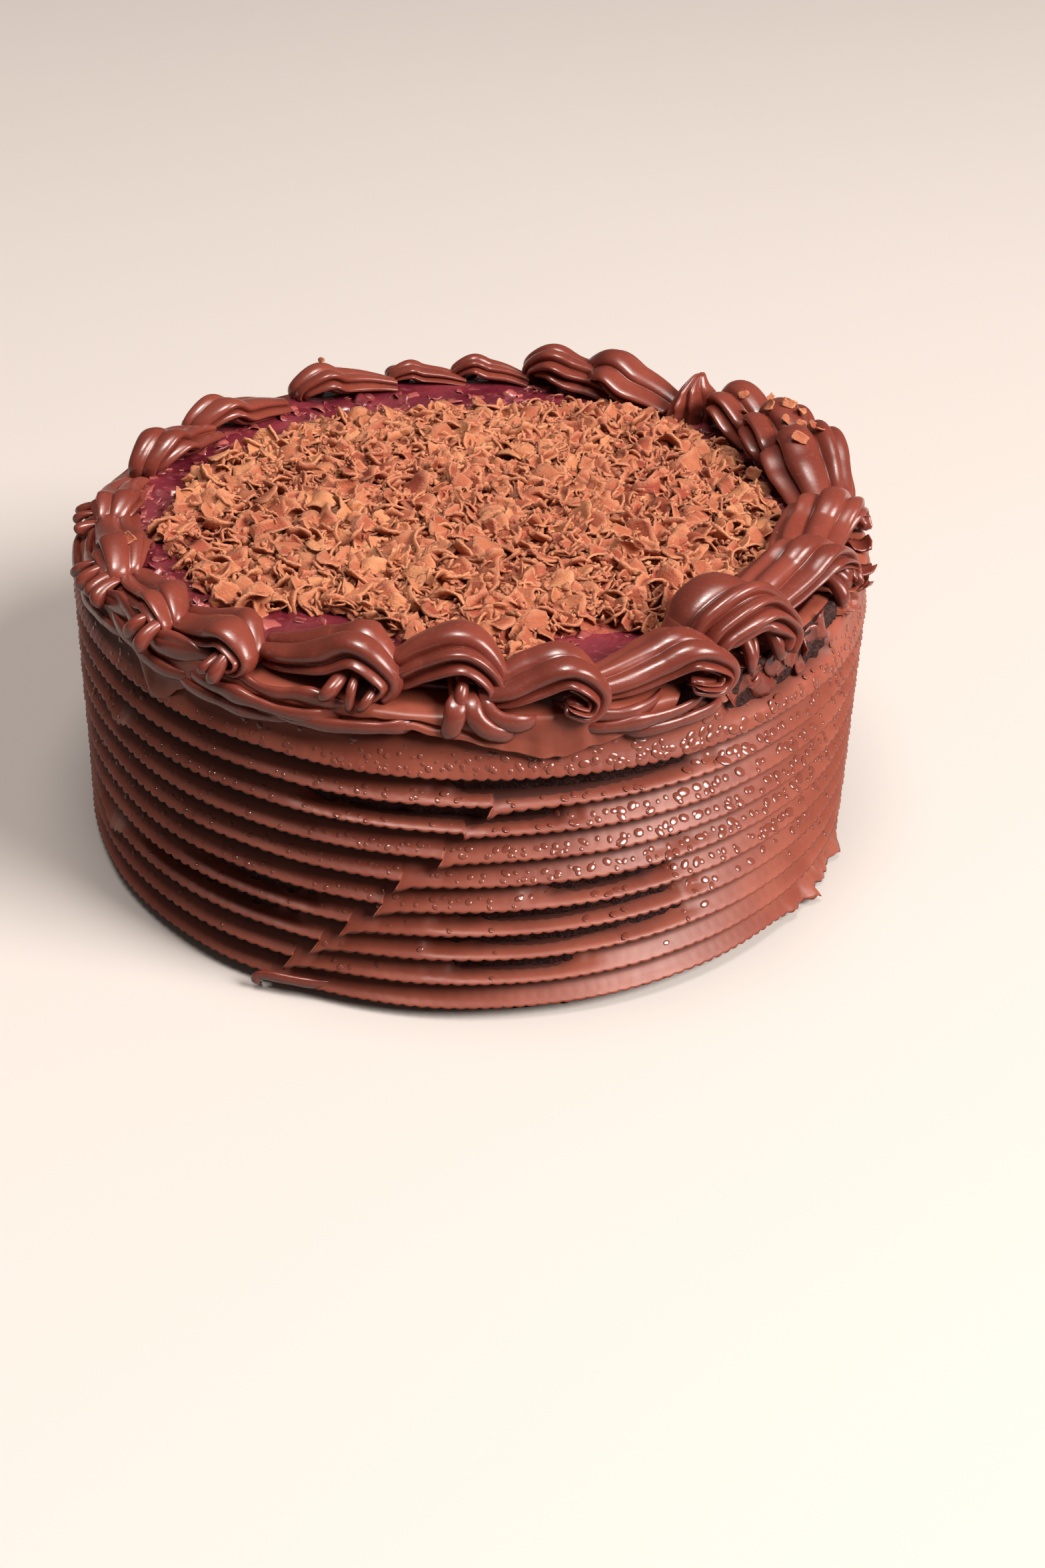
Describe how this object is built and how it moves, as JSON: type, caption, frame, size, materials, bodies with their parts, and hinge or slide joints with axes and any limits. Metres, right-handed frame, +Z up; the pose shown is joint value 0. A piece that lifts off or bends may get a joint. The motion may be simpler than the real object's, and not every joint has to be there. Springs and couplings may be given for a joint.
{
  "type": "chocolate cake",
  "caption": "Round chocolate cake with combed icing on its side, a border of piped shells, and fruit glaze under a heap of chocolate shavings on top.",
  "frame": {"origin": "centre of the base, on the surface that the cake stands on", "axes": "+Z up; -Y is the front, where the seam of the combed icing shows"},
  "size_m": [0.1997, 0.1999, 0.0994],
  "materials": {
    "sponge": "moist dark chocolate crumb",
    "icing": "smooth satin chocolate icing",
    "fruit_glaze": "glossy dark red fruit glaze",
    "shavings": "matte milk chocolate flakes"
  },
  "bodies": {
    "root": {"sponge": "sponge", "icing_coat": "icing", "fruit_glaze": "fruit_glaze", "piped_shell_01": "icing", "piped_shell_02": "icing", "piped_shell_03": "icing", "piped_shell_04": "icing", "piped_shell_05": "icing", "piped_shell_06": "icing", "piped_shell_07": "icing", "piped_shell_08": "icing", "piped_shell_09": "icing", "piped_shell_10": "icing", "piped_shell_11": "icing", "piped_shell_12": "icing", "piped_shell_13": "icing", "piped_shell_14": "icing", "piped_shell_15": "icing", "piped_shell_16": "icing", "piped_shell_17": "icing", "piped_shell_18": "icing", "piped_shell_19": "icing", "piped_shell_20": "icing", "piped_shell_21": "icing", "piped_shell_22": "icing", "chocolate_shavings": "shavings"}
  },
  "joints": []
}
